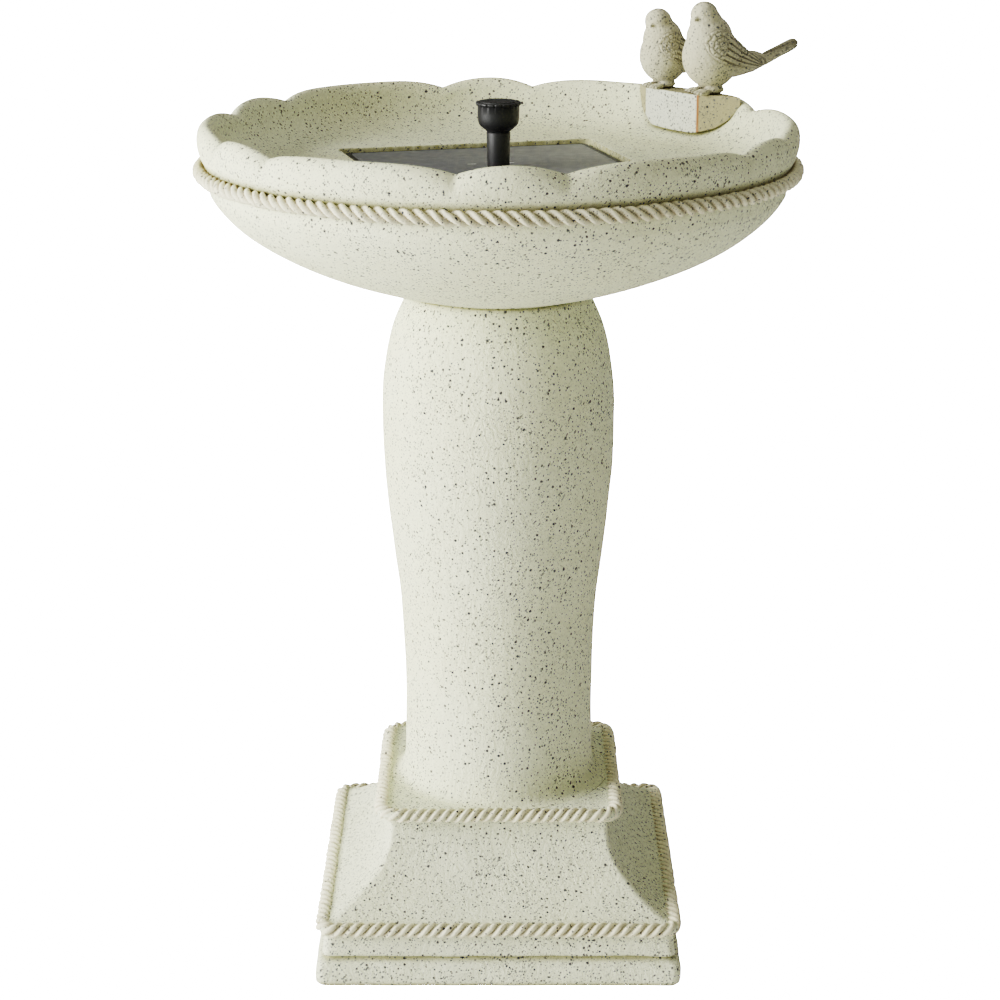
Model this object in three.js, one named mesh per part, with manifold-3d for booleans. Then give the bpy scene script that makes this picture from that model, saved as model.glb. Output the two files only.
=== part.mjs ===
// Solar bird bath: a square flared base, a hollow baluster column, a scalloped bowl that lifts off,
// a solar fountain unit that lifts out of the bowl, and two small birds on a perch block.
// Millimetres, +Z up, origin at the centre of the base's underside.
import * as THREE from "three";
import { mergeVertices } from "three/addons/utils/BufferGeometryUtils.js";
import Module from "manifold-3d";

const wasm = await Module();
wasm.setup();

// ---------------------------------------------------------------- driving dimensions
const GAP = 0.3; // clearance between pieces that rest on each other

const base = {
  foot: { half: 123.5, corner: 6, top: 17 },
  band: { half: 117, corner: 4, bottom: 20, top: 34 },
  lowerRope: { half: 117.5, z: 40, radius: 4.8, corner: 8 },
  flare: { topHalf: 74, spread: 40, bottom: 42.5, top: 98, power: 2.5 },
  upperRope: { half: 79.5, z: 106, radius: 4.85, corner: 13 },
  deck: 109, // top face that carries the column
  wall: 13,
  hole: 38, // opening that links the base's hollow to the column's bore
  register: { radius: 49, height: 7 }, // raised ring that centres the column
};

const column = {
  // outside radius against height, foot to top
  outline: [
    [65.5, 0], [64.8, 55], [65.4, 90], [67.2, 125], [71, 160], [75, 195], [78, 232],
    [78.4, 266], [76, 294], [70.6, 319], [60.5, 342],
  ],
  wall: 14.5,
  topBore: 44,
};
const columnFoot = base.deck + GAP;
const columnTop = columnFoot + column.outline.at(-1)[1];

const bowl = {
  seatRadius: 61,
  bottom: columnTop + GAP,
  spigot: { radius: 41, length: 15 },
  under: { radius: 192, low: 445, high: 530, power: 1.7 }, // superellipse of the underside
  rope: { radius: 195.2, z: 535, thickness: 4.8 },
  rim: { radius: 197, inner: 184.5, crest: 565 },
  floor: 536,
  recess: { side: 177, bottom: 517.5, corner: 4 },
  well: { bottom: 464, footRadius: 66, radius: 84, shoulder: 492 }, // reservoir under the panel
};
const scallop = {
  periods: 6,
  narrow: Math.PI / 9, // angle of a narrow lobe; a wide one fills the rest of the period
  phase: THREE.MathUtils.degToRad(-87.6), // where the first narrow lobe is centred
  dip: 4.2, // how far a notch drops below a lobe's crest
  indent: 2.6, // how far a notch comes in from the rim's outer face
  start: bowl.rope.z + 8, // the scallops fade out at this height
};

const panel = { side: 170.5, turn: THREE.MathUtils.degToRad(15), top: 533.6 };
const tray = { bottom: 521.8, pocketFloor: 527.4, lip: 3 };
const pump = {
  radius: 38,
  bottom: 480,
  top: tray.bottom - GAP,
  wall: 3,
  flange: { radius: 46, thickness: 3.6 },
  spout: { outer: 6.1, bore: 4.4, top: 546 },
  rotorX: -20, // the rotor's axis stands beside the outlet
  rotorWell: { radius: 7.2, top: 512, wall: 1.6 },
  chamber: { radius: 14.5, top: 490 },
};
const screw = { circle: 42, radius: 1.5, headRadius: 2.9, headHeight: 1.8, length: 8.6 };
const riser = { bottom: panel.top + GAP, shoulder: 557, footRadius: 7.3, topRadius: 7.9, spigot: 5.6 };
const head = { bottom: riser.shoulder + GAP, taperEnd: 566, cupRadius: 13.7, top: 574.2, flange: 14.9 };
const rose = { radius: 12.2, thickness: 3, holes: 18, holeRadius: 0.8 };

const perch = {
  // plan corners as [degrees from +X towards +Y, radius]; the first and the last bound the front face
  plan: [[34.3, 166], [26.3, 184], [29, 188], [41.5, 188.5], [54, 188], [57, 185], [52.2, 169.6]],
  top: 566.4,
  padThickness: 1.4,
};
const birds = [
  { name: "bird_left", feet: [118.5, 137.6], heading: -156, look: 35, size: 0.88 },
  { name: "bird_right", feet: [149, 105], heading: -157, look: 30, size: 1 },
];

// ---------------------------------------------------------------- materials
const finish = (color, roughness, metalness = 0) =>
  new THREE.MeshStandardMaterial({ color, roughness, metalness });
const stone = finish(0xd9d9c4, 0.9);
const figure = finish(0xb9b79e, 0.9);
const mortar = finish(0xcfceb6, 0.95);
const blackPlastic = finish(0x1b1b1c, 0.5);
const cellBlue = finish(0x2a2c33, 0.4);
const coverGlass = finish(0x5b5c5e, 0.15);
const rubber = finish(0x202020, 0.85);
const foam = finish(0x2c2c2a, 1);
const steel = finish(0xb8babd, 0.35, 1);
const copper = finish(0xa8602c, 0.4, 1);
const board = finish(0x1f5a35, 0.6);
const ceramic = finish(0xeeeeea, 0.3);

// ---------------------------------------------------------------- shape helpers
// A three.js geometry as a manifold-3d solid, for joining and cutting.
function solid(geometry) {
  const bare = new THREE.BufferGeometry();
  const source = geometry.index ? geometry.toNonIndexed() : geometry;
  bare.setAttribute("position", source.getAttribute("position").clone());
  const merged = mergeVertices(bare, 1e-3);
  return new wasm.Manifold(
    new wasm.Mesh({
      numProp: 3,
      vertProperties: merged.attributes.position.array,
      triVerts: new Uint32Array(merged.index.array),
    }),
  );
}

function geometryOf(manifold) {
  const mesh = manifold.getMesh();
  const geometry = new THREE.BufferGeometry();
  geometry.setAttribute("position", new THREE.BufferAttribute(mesh.vertProperties, 3));
  geometry.setIndex(new THREE.BufferAttribute(mesh.triVerts, 1));
  geometry.computeVertexNormals();
  return geometry;
}

// A body of revolution about +Z from [radius, z] points that run counterclockwise when seen with z up:
// up the outside and back down the inside, or from the axis at the bottom to the axis at the top.
function revolve(points, segments = 32) {
  const outline = points.map(([r, z]) => new THREE.Vector2(r, z));
  const onAxis = points[0][0] === 0 && points.at(-1)[0] === 0;
  if (!onAxis) outline.push(outline[0].clone());
  const geometry = new THREE.LatheGeometry(outline, segments);
  return geometry.rotateX(Math.PI / 2);
}

const rod = (radius, bottom, top, x = 0, y = 0, segments = 20) =>
  new THREE.CylinderGeometry(radius, radius, top - bottom, segments)
    .rotateX(Math.PI / 2)
    .translate(x, y, (bottom + top) / 2);

// A square outline with round corners, centred on the origin.
function roundedSquare(half, corner) {
  const k = half - corner;
  const shape = new THREE.Shape();
  shape.moveTo(half, -k);
  shape.lineTo(half, k);
  shape.absarc(k, k, corner, 0, Math.PI / 2);
  shape.lineTo(-k, half);
  shape.absarc(-k, k, corner, Math.PI / 2, Math.PI);
  shape.lineTo(-half, -k);
  shape.absarc(-k, -k, corner, Math.PI, 1.5 * Math.PI);
  shape.lineTo(k, -half);
  shape.absarc(k, -k, corner, -Math.PI / 2, 0);
  return shape;
}

// A closed skin over rings of points. Every ring has the same number of Vector3 and runs
// counterclockwise seen from the last ring's side; flat caps close both ends.
function loft(rings) {
  const count = rings[0].length;
  const positions = rings.flat().flatMap((p) => [p.x, p.y, p.z]);
  const faces = [];
  for (let k = 0; k + 1 < rings.length; k++) {
    for (let i = 0; i < count; i++) {
      const a = k * count + i;
      const b = k * count + ((i + 1) % count);
      faces.push(a, b, b + count, a, b + count, a + count);
    }
  }
  const lastRing = (rings.length - 1) * count;
  for (let i = 1; i + 1 < count; i++) {
    faces.push(0, i + 1, i);
    faces.push(lastRing, lastRing + i, lastRing + i + 1);
  }
  const geometry = new THREE.BufferGeometry();
  geometry.setAttribute("position", new THREE.Float32BufferAttribute(positions, 3));
  geometry.setIndex(faces);
  return geometry;
}

// Square sections stacked in z, each [half, z, corner radius].
function squareTower(sections) {
  const cornerSteps = 3;
  return loft(
    sections.map(([half, z, corner]) => {
      const points = roundedSquare(half, corner).getPoints(cornerSteps);
      const distinct = points.filter((p, i) => i === 0 || p.distanceTo(points[i - 1]) > 1e-6);
      if (distinct[0].distanceTo(distinct.at(-1)) < 1e-6) distinct.pop();
      return distinct.map((p) => new THREE.Vector3(p.x, p.y, z));
    }),
  );
}

// A square plate with round corners, from z = bottom to z = top, turned about +Z.
function plate(side, corner, bottom, top, turn = 0) {
  return new THREE.ExtrudeGeometry(roundedSquare(side / 2, corner), {
    depth: top - bottom,
    bevelEnabled: false,
    curveSegments: 3,
  })
    .rotateZ(turn)
    .translate(0, 0, bottom);
}

// ---------------------------------------------------------------- base and column
function ropeProfile({ half, z, radius, corner }, from, to, steps = 5) {
  return Array.from({ length: steps + 1 }, (_, i) => {
    const a = THREE.MathUtils.degToRad(from + ((to - from) * i) / steps);
    return [half + radius * Math.cos(a), z + radius * Math.sin(a), corner];
  });
}

function flareProfile(steps = 8) {
  const { topHalf, spread, bottom, top, power } = base.flare;
  return Array.from({ length: steps + 1 }, (_, i) => {
    const t = 1 - i / steps; // 1 at the bottom of the flare
    return [topHalf + spread * t ** power, top + (bottom - top) * t, 4 + 3 * (1 - t)];
  });
}

function baseCasting() {
  const { foot, band, lowerRope, upperRope, flare, deck, wall, hole, register } = base;
  const outside = squareTower([
    [foot.half - 1, 0, foot.corner],
    [foot.half, 2, foot.corner],
    [foot.half, foot.top - 3, foot.corner],
    [foot.half - 2, foot.top, foot.corner],
    [band.half + 1, band.bottom, band.corner],
    [band.half, band.top, band.corner],
    ...ropeProfile(lowerRope, -45, 100),
    ...flareProfile(),
    ...ropeProfile(upperRope, -90, 90),
    [upperRope.half - 4, deck, upperRope.corner],
  ]);
  const hollow = squareTower([
    [band.half - wall + 3, -1, 8],
    [band.half - wall, band.top, 8],
    [flare.topHalf + 4, band.top + 18, 8],
    [flare.topHalf - wall, deck - wall - 18, 8],
    [flare.topHalf - wall - 4, deck - wall, 8],
  ]);
  const ring = rod(register.radius, deck - 2, deck + register.height, 0, 0, 32);
  const opening = rod(hole, deck - wall - 2, deck + register.height + 1, 0, 0, 24);
  return geometryOf(solid(outside).add(solid(ring)).subtract(solid(hollow)).subtract(solid(opening)));
}

const columnCurve = new THREE.SplineCurve(column.outline.map(([r, h]) => new THREE.Vector2(r, h)));

function columnCasting() {
  const outside = columnCurve.getPoints(16).map((p) => [p.x, columnFoot + p.y]);
  const inside = columnCurve
    .getPoints(10)
    .map((p) => [p.x - column.wall, columnFoot + p.y])
    .slice(0, -1);
  const topBore = [
    [column.topBore, columnTop],
    [column.topBore, columnTop - 18],
  ];
  return revolve([...outside, ...topBore, ...inside.reverse().slice(1)], 32);
}

function mortarFillet() {
  const radius = column.outline[0][0] + GAP;
  return revolve(
    [
      [radius + 7, columnFoot],
      [radius + 3, columnFoot + 1.8],
      [radius + 1, columnFoot + 4],
      [radius + 0.2, columnFoot + 8],
      [radius, columnFoot],
    ],
    36,
  );
}

// ---------------------------------------------------------------- bowl
const underZ = (r) => {
  const { radius, low, high, power } = bowl.under;
  return low + (high - low) * (1 - (1 - (r / radius) ** power) ** (1 / power));
};

// How deep the rim's notches are at an angle, from 0 on a lobe's crest to 1 in a notch.
function notch(angle) {
  const period = (2 * Math.PI) / scallop.periods;
  const turned = angle - scallop.phase + scallop.narrow / 2;
  const within = ((turned % period) + period) % period;
  const width = within < scallop.narrow ? scallop.narrow : period - scallop.narrow;
  const across = within < scallop.narrow ? within : within - scallop.narrow;
  return Math.abs((2 * across) / width - 1) ** (within < scallop.narrow ? 2.4 : 5);
}

function scalloped(geometry) {
  const at = geometry.getAttribute("position");
  for (let i = 0; i < at.count; i++) {
    const [x, y, z] = [at.getX(i), at.getY(i), at.getZ(i)];
    const radius = Math.hypot(x, y);
    const rise = THREE.MathUtils.smoothstep(z, scallop.start, bowl.rim.crest);
    if (rise === 0 || radius < bowl.rim.inner - 20) continue;
    const depth = notch(Math.atan2(y, x)) * rise;
    const scale = 1 - (depth * scallop.indent) / radius;
    at.setXYZ(i, x * scale, y * scale, z - depth * scallop.dip);
  }
  return geometry;
}

// The basin's inside, rim crest to floor, as [radius, z].
const insideWall = [
  [190, bowl.rim.crest],
  [bowl.rim.inner + 1.5, 563.5],
  [bowl.rim.inner - 1, 560],
  [180.5, 552],
  [173, 543.5],
  [161, 538.5],
  [146, bowl.floor + 0.3],
];

function bowlCasting() {
  const { spigot, bottom, seatRadius, rope, rim, recess, well, floor } = bowl;
  const under = Array.from({ length: 9 }, (_, i) => {
    const r = seatRadius + 4 + (189 - seatRadius - 4) * Math.sin(((i / 8) * Math.PI) / 2);
    return [r, underZ(r)];
  });
  const ropeBead = Array.from({ length: 6 }, (_, i) => {
    const a = THREE.MathUtils.degToRad(-75 + 30 * i);
    return [rope.radius + rope.thickness * Math.cos(a), rope.z + rope.thickness * Math.sin(a)];
  });
  const blank = revolve(
    [
      [0, bottom - spigot.length],
      [spigot.radius - 1.5, bottom - spigot.length],
      [spigot.radius, bottom - spigot.length + 2],
      [spigot.radius, bottom],
      [seatRadius, bottom],
      ...under,
      ...ropeBead,
      [194.4, 541],
      [196.4, 547],
      [rim.radius, 553],
      [rim.radius - 0.8, 559],
      [194, 563.6],
      ...insideWall,
      [0, floor],
    ],
    60,
  );
  const pocket = plate(recess.side, recess.corner, recess.bottom, floor + 5, panel.turn);
  const reservoir = revolve(
    [
      [0, well.bottom],
      [well.footRadius, well.bottom],
      [well.radius, well.shoulder],
      [well.radius, recess.bottom + 1],
      [0, recess.bottom + 1],
    ],
    40,
  );
  return geometryOf(solid(scalloped(blank)).subtract(solid(pocket)).subtract(solid(reservoir)));
}

// ---------------------------------------------------------------- fountain unit
const turnedPlate = (side, corner, bottom, top) => plate(side, corner, bottom, top, panel.turn);
const centreHole = (radius) => solid(rod(radius, tray.bottom - 2, panel.top + 2, 0, 0, 16));
const screwPlaces = [45, 135, 225, 315].map((degrees) => {
  const a = THREE.MathUtils.degToRad(degrees) + panel.turn;
  return [screw.circle * Math.cos(a), screw.circle * Math.sin(a)];
});
const footPlaces = [45, 135, 225, 315].map((degrees) => {
  const a = THREE.MathUtils.degToRad(degrees) + panel.turn;
  const reach = (panel.side / 2 - 12) * Math.SQRT2;
  return [reach * Math.cos(a), reach * Math.sin(a)];
});

function panelTray() {
  const pocketSide = panel.side - 2 * tray.lip;
  let body = solid(turnedPlate(panel.side, 3, tray.bottom, panel.top - 0.2))
    .subtract(solid(turnedPlate(pocketSide, 2, tray.pocketFloor, panel.top + 2)))
    .subtract(centreHole(pump.spout.outer + GAP));
  for (const [x, y] of screwPlaces) {
    const hole = rod(screw.radius + GAP, tray.bottom - 1, tray.pocketFloor + 1, x, y, 8);
    body = body.subtract(solid(hole));
  }
  return geometryOf(body);
}

function solarCells() {
  const side = panel.side - 2 * tray.lip - 2;
  const sheet = turnedPlate(side, 2, tray.pocketFloor + 2.2, tray.pocketFloor + 3.2);
  return geometryOf(solid(sheet).subtract(centreHole(12)));
}

function coverSheet() {
  const side = panel.side - 2 * tray.lip - 2 * GAP;
  const sheet = turnedPlate(side, 2, tray.pocketFloor + 3.5, panel.top);
  return geometryOf(solid(sheet).subtract(centreHole(pump.spout.outer + 1)));
}

function trayFoot(x, y) {
  return rod(5.5, bowl.recess.bottom + GAP, tray.bottom - GAP, x, y, 14);
}

function pumpHousing() {
  const { radius, bottom, top, wall, flange, spout, rotorX, rotorWell, chamber } = pump;
  const pocketFloor = chamber.top + 3;
  const shell = solid(rod(radius, bottom, top, 0, 0, 32))
    .add(solid(rod(flange.radius, top - flange.thickness, top, 0, 0, 32)))
    .subtract(solid(rod(radius - wall, pocketFloor, top + 1, 0, 0, 32)));
  const rotorTube = solid(
    rod(rotorWell.radius + rotorWell.wall, chamber.top, rotorWell.top + 2, rotorX, 0, 20),
  );
  const duct = solid(rod(spout.outer, chamber.top, spout.top, 0, 0, 20));
  const ways = solid(rod(rotorWell.radius, bottom - 1, rotorWell.top, rotorX, 0, 20))
    .add(solid(rod(spout.bore, bottom + 3, spout.top + 1, 0, 0, 16)))
    .add(solid(rod(chamber.radius, bottom - 1, chamber.top, rotorX, 0, 24)))
    .add(solid(new THREE.BoxGeometry(-rotorX, 2 * spout.bore, 6).translate(rotorX / 2, 0, bottom + 6)));
  let housing = shell.add(rotorTube).add(duct).subtract(ways);
  for (const [x, y] of screwPlaces) {
    housing = housing.subtract(
      solid(rod(screw.radius + GAP, top - flange.thickness - 1, top + 1, x, y, 8)),
    );
  }
  return geometryOf(housing);
}

const voluteCover = { bottom: 476.6, top: pump.bottom - GAP };

function voluteCoverPlate() {
  const disc = solid(rod(pump.radius - 4, voluteCover.bottom, voluteCover.top, 0, 0, 28));
  const eye = solid(rod(5, voluteCover.bottom - 1, voluteCover.top + 1, pump.rotorX, 0, 14));
  return geometryOf(disc.subtract(eye));
}

function rotorWithImpeller() {
  const { rotorX, rotorWell, chamber, bottom } = pump;
  const bladeTop = chamber.top - 1;
  let body = solid(rod(rotorWell.radius - 0.8, bladeTop - 2, rotorWell.top - 1, rotorX, 0, 20)).add(
    solid(rod(chamber.radius - 2, bladeTop - 1.6, bladeTop, rotorX, 0, 20)),
  );
  const blades = 6;
  for (let i = 0; i < blades; i++) {
    const blade = new THREE.BoxGeometry(chamber.radius - 5, 1.4, 5)
      .translate(chamber.radius / 2, 0, bladeTop - 3.8)
      .rotateZ((i * 2 * Math.PI) / blades)
      .translate(rotorX, 0, 0);
    body = body.add(solid(blade));
  }
  const hub = solid(rod(3.4, bottom + 2, bladeTop, rotorX, 0, 12));
  return geometryOf(body.add(hub).subtract(solid(rod(1.35, bottom, rotorWell.top, rotorX, 0, 10))));
}

const statorWinding = () =>
  revolve(
    [
      [12.6, pump.chamber.top + 3 + GAP],
      [12.6, 507],
      [9.3, 507],
      [9.3, pump.chamber.top + 3 + GAP],
    ],
    24,
  ).translate(pump.rotorX, 0, 0);

const driverBoard = () =>
  new THREE.BoxGeometry(22, 30, 1.6).translate(20.5, 0, pump.chamber.top + 3 + GAP + 0.8);

function filterSponge() {
  const disc = solid(rod(pump.radius - 5, strainer.floor + GAP, voluteCover.bottom - GAP, 0, 0, 24));
  const eye = solid(rod(6, strainer.bottom, voluteCover.top, pump.rotorX, 0, 12));
  return geometryOf(disc.subtract(eye));
}

const strainer = { bottom: 466.2, floor: 468.4, top: 488, radius: pump.radius + 2.4 };

function strainerCup() {
  const inner = pump.radius + GAP + 0.2;
  let cup = solid(rod(strainer.radius, strainer.bottom, strainer.top, 0, 0, 32)).subtract(
    solid(rod(inner, strainer.floor, strainer.top + 1, 0, 0, 32)),
  );
  const slots = 16;
  for (let i = 0; i < slots; i++) {
    const slot = new THREE.BoxGeometry(9, 3, 6)
      .translate(strainer.radius, 0, strainer.floor + 4.2)
      .rotateZ(((i + 0.5) * 2 * Math.PI) / slots);
    cup = cup.subtract(solid(slot));
  }
  return geometryOf(cup);
}

function flangeScrew(x, y) {
  const seat = pump.top - pump.flange.thickness - GAP;
  return revolve(
    [
      [0, seat - screw.headHeight],
      [screw.headRadius * 0.8, seat - screw.headHeight],
      [screw.headRadius, seat - 0.8],
      [screw.headRadius, seat],
      [screw.radius, seat],
      [screw.radius, seat + screw.length - 1],
      [0, seat + screw.length],
    ],
    10,
  ).translate(x, y, 0);
}

function riserTube() {
  const { bottom, shoulder, footRadius, topRadius, spigot } = riser;
  const socket = pump.spout.outer + GAP;
  const socketTop = pump.spout.top + 1;
  return revolve(
    [
      [footRadius, bottom],
      [topRadius, shoulder],
      [spigot, shoulder],
      [spigot, shoulder + 9],
      [pump.spout.bore, shoulder + 9],
      [pump.spout.bore, socketTop],
      [socket, socketTop - 1],
      [socket, bottom],
    ],
    24,
  );
}

function sprayHead() {
  const { bottom, taperEnd, cupRadius, top, flange } = head;
  const bore = riser.spigot + GAP;
  const chamber = cupRadius - 1.6;
  return revolve(
    [
      [8, bottom],
      [8.6, bottom + 1.5],
      [12.4, taperEnd - 3.5],
      [cupRadius, taperEnd],
      [cupRadius, top],
      [flange, top + 0.6],
      [flange, top + 2.4],
      [rose.radius + GAP, top + 2.4],
      [rose.radius + GAP, top - 0.4],
      [chamber - 1.2, top - 0.4],
      [chamber - 1.2, taperEnd + 2],
      [bore, taperEnd + 1],
      [bore, bottom],
    ],
    28,
  );
}

function roseDisc() {
  const bottom = head.top;
  let disc = solid(rod(rose.radius, bottom, bottom + rose.thickness, 0, 0, 28)).subtract(
    solid(rod(4.4, bottom + 1.4, bottom + rose.thickness + 1, 0, 0, 16)),
  );
  for (let i = 0; i < rose.holes; i++) {
    const a = (i * 2 * Math.PI) / rose.holes;
    const ring = rose.radius - 2.6;
    const hole = rod(rose.holeRadius, bottom - 1, bottom + 5, ring * Math.cos(a), ring * Math.sin(a), 6);
    disc = disc.subtract(solid(hole));
  }
  return geometryOf(disc);
}

// ---------------------------------------------------------------- perch block and birds
// The free space above the basin, kept a distance off its wall, which shapes what stands on the rim.
function airAbove(clearance) {
  const outline = [
    [0, bowl.floor + clearance],
    ...[...insideWall].reverse().map(([r, z]) => [r - clearance, z + clearance * 0.7]),
    [bowl.rim.radius + 10, bowl.rim.crest + clearance],
    [bowl.rim.radius + 10, perch.top + 90],
    [0, perch.top + 90],
  ];
  return solid(scalloped(revolve(outline, 60)));
}

// The block's plan, extruded; shrink pulls its corners towards its middle.
function perchPrism(shrink) {
  const corners = perch.plan.map(([degrees, radius]) =>
    new THREE.Vector2(radius, 0).rotateAround(new THREE.Vector2(), THREE.MathUtils.degToRad(degrees)),
  );
  const middle = corners
    .reduce((sum, corner) => sum.add(corner), new THREE.Vector2())
    .divideScalar(corners.length);
  const outline = new THREE.Shape(corners.map((corner) => corner.clone().lerp(middle, shrink)));
  return new THREE.ExtrudeGeometry(outline, {
    depth: perch.top - bowl.floor,
    bevelEnabled: false,
  }).translate(0, 0, bowl.floor);
}

function perchBlock() {
  return geometryOf(solid(perchPrism(0)).intersect(airAbove(perch.padThickness + 2 * GAP)));
}

function perchAdhesive() {
  const pad = solid(perchPrism(0.15)).intersect(airAbove(GAP));
  return geometryOf(pad.subtract(airAbove(perch.padThickness + GAP)));
}

// An egg shape with its own radii, leaning back by a number of degrees.
function egg([rx, ry, rz], [x, y, z], lean = 0) {
  return solid(
    new THREE.SphereGeometry(1, 18, 12)
      .rotateX(Math.PI / 2)
      .scale(rx, ry, rz)
      .rotateY(THREE.MathUtils.degToRad(lean))
      .translate(x, y, z),
  );
}

// A small songbird facing +X, with the origin between its feet.
function bird({ feet, heading, look, size }) {
  const headCentre = new THREE.Vector3(8.5, 0, 56.5);
  const tail = new THREE.BoxGeometry(33, 9, 8.5).rotateY(THREE.MathUtils.degToRad(25)).translate(-43.5, 0, 25);
  const beak = new THREE.ConeGeometry(3, 7.5, 10)
    .rotateZ(-Math.PI / 2)
    .translate(11.5, 0, -2.5)
    .rotateZ(THREE.MathUtils.degToRad(look))
    .translate(headCentre.x, headCentre.y, headCentre.z);
  let body = egg([20.5, 18.5, 23.5], [2.5, 0, 26.8], 6)
    .add(egg([16, 15, 18.5], [4.5, 0, 40.5], 8))
    .add(egg([9.8, 9.8, 9.8], headCentre.toArray()))
    .add(egg([25, 12.5, 10], [-17, 0, 21.5], 6))
    .add(solid(tail))
    .add(solid(beak));
  for (const y of [-8, 8]) {
    body = body.add(solid(new THREE.BoxGeometry(16, 8, 8).translate(2, y, 4)));
  }
  return geometryOf(body)
    .scale(size, size, size)
    .rotateZ(THREE.MathUtils.degToRad(heading))
    .translate(feet[0], feet[1], perch.top + GAP);
}

// ---------------------------------------------------------------- assembly
const birdBath = new THREE.Group();

function place(parent, name, geometry, material) {
  const mesh = new THREE.Mesh(geometry, material);
  mesh.name = name;
  parent.add(mesh);
}

const pedestal = new THREE.Group();
place(pedestal, "base_casting", baseCasting(), stone);
place(pedestal, "column_casting", columnCasting(), stone);
place(pedestal, "column_mortar_fillet", mortarFillet(), mortar);
birdBath.add(pedestal);

const basin = new THREE.Group();
place(basin, "bowl_casting", bowlCasting(), stone);
place(basin, "perch_block", perchBlock(), figure);
place(basin, "perch_adhesive", perchAdhesive(), mortar);
for (const one of birds) place(basin, one.name, bird(one), figure);
birdBath.add(basin);

const fountain = new THREE.Group();
place(fountain, "panel_tray", panelTray(), blackPlastic);
place(fountain, "solar_cells", solarCells(), cellBlue);
place(fountain, "panel_cover_glass", coverSheet(), coverGlass);
footPlaces.forEach(([x, y], i) => place(fountain, `tray_foot_${i + 1}`, trayFoot(x, y), rubber));
place(fountain, "pump_housing", pumpHousing(), blackPlastic);
place(fountain, "volute_cover", voluteCoverPlate(), blackPlastic);
place(fountain, "rotor_shaft", rod(1, pump.bottom + GAP, pump.rotorWell.top - GAP, pump.rotorX, 0, 8), ceramic);
place(fountain, "stator_winding", statorWinding(), copper);
place(fountain, "driver_board", driverBoard(), board);
screwPlaces.forEach(([x, y], i) => place(fountain, `flange_screw_${i + 1}`, flangeScrew(x, y), steel));
place(fountain, "impeller", rotorWithImpeller(), blackPlastic);
place(fountain, "intake_strainer", strainerCup(), blackPlastic);
place(fountain, "filter_sponge", filterSponge(), foam);
place(fountain, "riser_tube", riserTube(), blackPlastic);
place(fountain, "spray_head", sprayHead(), blackPlastic);
place(fountain, "rose_disc", roseDisc(), blackPlastic);
birdBath.add(fountain);

export default birdBath;
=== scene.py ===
import math
import random

import bmesh
import bpy
from mathutils import Matrix, Vector, noise


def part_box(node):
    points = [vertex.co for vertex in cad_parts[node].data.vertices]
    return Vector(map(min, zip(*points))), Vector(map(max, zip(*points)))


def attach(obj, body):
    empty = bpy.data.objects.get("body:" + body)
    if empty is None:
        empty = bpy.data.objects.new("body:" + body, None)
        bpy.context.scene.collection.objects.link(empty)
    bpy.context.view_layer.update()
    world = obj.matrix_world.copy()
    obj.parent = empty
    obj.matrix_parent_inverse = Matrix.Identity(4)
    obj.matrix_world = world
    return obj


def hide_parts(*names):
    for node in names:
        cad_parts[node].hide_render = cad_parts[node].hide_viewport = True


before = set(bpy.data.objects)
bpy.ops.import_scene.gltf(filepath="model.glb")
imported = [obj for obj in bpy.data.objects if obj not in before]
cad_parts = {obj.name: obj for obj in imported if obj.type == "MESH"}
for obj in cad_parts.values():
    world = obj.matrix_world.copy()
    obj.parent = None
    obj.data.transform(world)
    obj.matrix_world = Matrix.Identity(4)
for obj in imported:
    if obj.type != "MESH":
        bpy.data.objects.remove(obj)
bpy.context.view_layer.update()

MM = 0.001
TAU = 2 * math.pi
WEAR_SEED = 5
noise.seed_set(WEAR_SEED)  # without a seed, noise vectors differ from run to run

# ---------------------------------------------------------------- sizes taken from the CAD nodes
base_lo, base_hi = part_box("base_casting")
column_lo, column_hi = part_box("column_casting")
bowl_lo, bowl_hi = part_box("bowl_casting")
perch_lo, perch_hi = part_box("perch_block")
cover_lo, cover_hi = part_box("panel_cover_glass")
head_lo, head_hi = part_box("spray_head")

FOOT_HALF = base_hi[0] / MM - 0.3
BOWL_BOTTOM = bowl_lo[2] / MM + 15
COLUMN_FOOT = column_lo[2] / MM
PERCH_RAISE = 2.4  # the fine block stands this much higher than the CAD block
PERCH_TOP = perch_hi[2] / MM + PERCH_RAISE
BACK_RISE = 3.2  # and the rim behind it rises by up to this much
PANEL_TOP = cover_hi[2] / MM


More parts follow.
